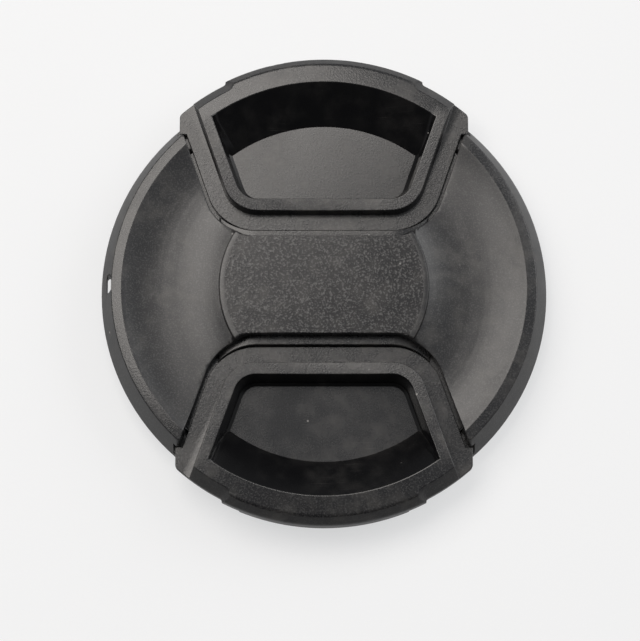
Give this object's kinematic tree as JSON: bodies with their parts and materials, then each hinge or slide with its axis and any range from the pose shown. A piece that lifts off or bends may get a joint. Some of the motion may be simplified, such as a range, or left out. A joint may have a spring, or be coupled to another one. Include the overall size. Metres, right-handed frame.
{
  "type": "camera lens cap",
  "caption": "Round black clip-on camera lens cap with a raised centre disc and opposed sprung finger tabs whose ridged jaws grip a lens's filter thread.",
  "frame": {"origin": "centre of the cap at the free edge of its rear ring", "axes": "+Z is the cap's axis, out of its front face; the finger tabs slide along Y; the leash slot is at -X"},
  "size_m": [0.0704, 0.0754, 0.0086],
  "materials": {
    "shell_plastic": "black ABS, spark-eroded grain on the disc, satin elsewhere",
    "tab_plastic": "black ABS, fine matt border, glossier finger scoop",
    "plate_plastic": "black ABS, fine matt",
    "spring_steel": "drawn spring wire"
  },
  "bodies": {
    "shell": {"front_shell": "shell_plastic", "back_plate": "plate_plastic", "left_spring": "spring_steel", "right_spring": "spring_steel"},
    "upper_tab": {"upper_pinch_tab": "tab_plastic"},
    "lower_tab": {"lower_pinch_tab": "tab_plastic"}
  },
  "joints": [
    {"name": "upper_tab_slide", "type": "slide", "parent": "shell", "child": "upper_tab", "axis": [0, -1, 0], "range_m": [0, 0.00115], "stiffness_N_per_m": 6000, "springref_m": -0.00035, "deforming": ["left_spring", "right_spring"]},
    {"name": "lower_tab_slide", "type": "slide", "parent": "shell", "child": "lower_tab", "axis": [0, 1, 0], "range_m": [0, 0.00115], "stiffness_N_per_m": 6000, "springref_m": -0.00035, "deforming": ["left_spring", "right_spring"]}
  ]
}
